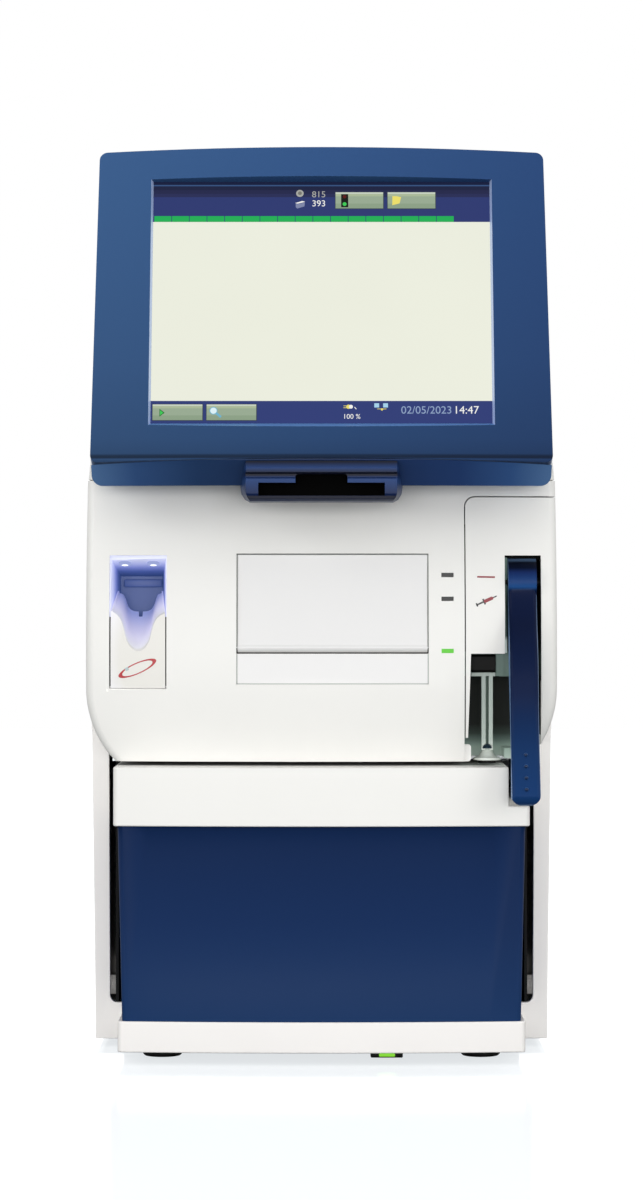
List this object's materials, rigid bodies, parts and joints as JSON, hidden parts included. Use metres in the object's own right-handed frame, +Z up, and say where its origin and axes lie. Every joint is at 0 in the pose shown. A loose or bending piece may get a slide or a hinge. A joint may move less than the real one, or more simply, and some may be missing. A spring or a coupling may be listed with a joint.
{
  "type": "blood gas analyzer",
  "caption": "Bench-top blood gas analyzer: tilted blue display head over a bowed white body with sample mixer, cassette door, inlet lever and a slide-out solution pack.",
  "frame": {"origin": "on the table under the middle of the whole unit", "axes": "+X to the operator's right, -Y towards the operator, +Z up"},
  "size_m": [0.238, 0.29, 0.4606],
  "materials": {
    "white_plastic": "fine-textured moulded plastic",
    "door_plastic": "fine-textured moulded plastic",
    "blue_paint": "satin metallic blue paint",
    "blue_pack": "smooth dark blue plastic",
    "blue_lever": "smooth dark blue plastic",
    "grey_plastic": "fine-textured moulded plastic",
    "black_plastic": "matt black plastic",
    "steel_sheet": "zinc-plated sheet",
    "steel_pin": "ground steel",
    "aluminium": "milled",
    "rubber": "black rubber",
    "glass": "touch glass",
    "display": "lit screen",
    "lens_dark": "smoked lens",
    "lens_green": "lit green lens",
    "lamp": "lit white lens",
    "circuit_board": "green solder mask",
    "paper": "thermal paper",
    "pouch_film": "foil film",
    "tubing": "clear silicone tube"
  },
  "bodies": {
    "housing": {"base_sill": "white_plastic", "floor_plate": "steel_sheet", "rubber_feet": "rubber", "pack_runners": "black_plastic", "chassis_walls": "steel_sheet", "chassis_shelf": "steel_sheet", "rear_bulkhead": "steel_sheet", "right_side_panel": "white_plastic", "left_side_panel": "white_plastic", "rear_cover": "white_plastic", "housing_screws": "steel_pin", "front_cover": "white_plastic", "inlet_cover": "white_plastic", "door_hinge_pin": "steel_pin", "cassette_bay": "black_plastic", "sensor_cassette": "grey_plastic", "status_lenses": "lens_dark", "ready_lens": "lens_green", "mixer_housing": "grey_plastic", "mixer_lamps": "lamp", "mixer_motor": "steel_sheet", "inlet_bracket": "grey_plastic", "handle_pin": "steel_pin", "arm_pin": "steel_pin", "head_bezel": "blue_paint", "head_rear_shell": "blue_paint", "touch_glass": "glass", "display_module": "display", "reader_housing": "blue_paint", "reader_module": "black_plastic", "top_cover": "white_plastic", "printer_tray": "grey_plastic", "fan_frame": "black_plastic", "power_inlet": "black_plastic", "data_ports": "steel_sheet", "fluid_manifold": "grey_plastic", "fluid_tubes": "tubing", "pump_housing": "grey_plastic", "optics_module": "aluminium", "power_supply": "steel_sheet", "battery_pack": "black_plastic", "mainboard": "circuit_board"},
    "solution_pack": {"pack_shell": "blue_pack", "pack_cap": "white_plastic", "reagent_pouches": "pouch_film"},
    "cassette_flap": {"cassette_door": "door_plastic"},
    "inlet_lever": {"inlet_handle": "blue_lever"},
    "inlet_arm": {"arm_block": "black_plastic", "arm_column": "grey_plastic", "arm_gasket": "rubber", "inlet_probe": "steel_pin"},
    "rocking_mixer": {"mixer_cradle": "white_plastic", "mixer_shaft": "steel_pin"},
    "lid": {"printer_lid": "grey_plastic"},
    "roll": {"paper_roll": "paper"},
    "platen": {"platen_roller": "rubber"},
    "button": {"release_button": "blue_lever"},
    "fan": {"fan_rotor": "black_plastic"},
    "pump": {"pump_rotor": "white_plastic"},
    "rocker": {"power_switch": "black_plastic"}
  },
  "joints": [
    {"name": "pack_slide", "type": "slide", "parent": "housing", "child": "solution_pack", "axis": [0, -1, 0], "range_m": [0, 0.2]},
    {"name": "door_hinge", "type": "hinge", "parent": "housing", "child": "cassette_flap", "pos_m": [0, -0.09959, 0.208], "axis": [1, 0, 0], "range_deg": [0, 90]},
    {"name": "lever_hinge", "type": "hinge", "parent": "housing", "child": "inlet_lever", "pos_m": [0.1016, -0.086, 0.241], "axis": [-1, 0, 0], "range_deg": [0, 80]},
    {"name": "arm_hinge", "type": "hinge", "parent": "housing", "child": "inlet_arm", "pos_m": [0.0838, -0.086, 0.1995], "axis": [-1, 0, 0], "range_deg": [0, 60]},
    {"name": "mixer_rock", "type": "hinge", "parent": "housing", "child": "rocking_mixer", "pos_m": [-0.0925, -0.08, 0.1966], "axis": [-1, 0, 0], "range_deg": [0, 10]},
    {"name": "lid_hinge", "type": "hinge", "parent": "housing", "child": "lid", "pos_m": [0, 0.084, 0.4047], "axis": [-1, 0, 0], "range_deg": [0, 95]},
    {"name": "platen_spin", "type": "hinge", "parent": "housing", "child": "platen", "pos_m": [0, 0.014, 0.392], "axis": [1, 0, 0], "continuous": true},
    {"name": "roll_spin", "type": "hinge", "parent": "housing", "child": "roll", "pos_m": [0, 0.059, 0.369], "axis": [1, 0, 0], "continuous": true},
    {"name": "button_press", "type": "slide", "parent": "housing", "child": "button", "axis": [0, 0, -1], "range_m": [0, 0.002], "stiffness_N_per_m": 600, "springref_m": -0.001},
    {"name": "fan_spin", "type": "hinge", "parent": "housing", "child": "fan", "pos_m": [-0.058, 0.121, 0.2346], "axis": [0, 1, 0], "continuous": true},
    {"name": "pump_spin", "type": "hinge", "parent": "housing", "child": "pump", "pos_m": [-0.045, -0.029, 0.1741], "axis": [0, 1, 0], "continuous": true},
    {"name": "switch_rock", "type": "hinge", "parent": "housing", "child": "rocker", "pos_m": [-0.033, 0.138, 0.046], "axis": [1, 0, 0], "range_deg": [-8, 8]}
  ],
  "couplings": [
    {"joint": "arm_hinge", "follows": "lever_hinge", "ratio": 0.75}
  ]
}
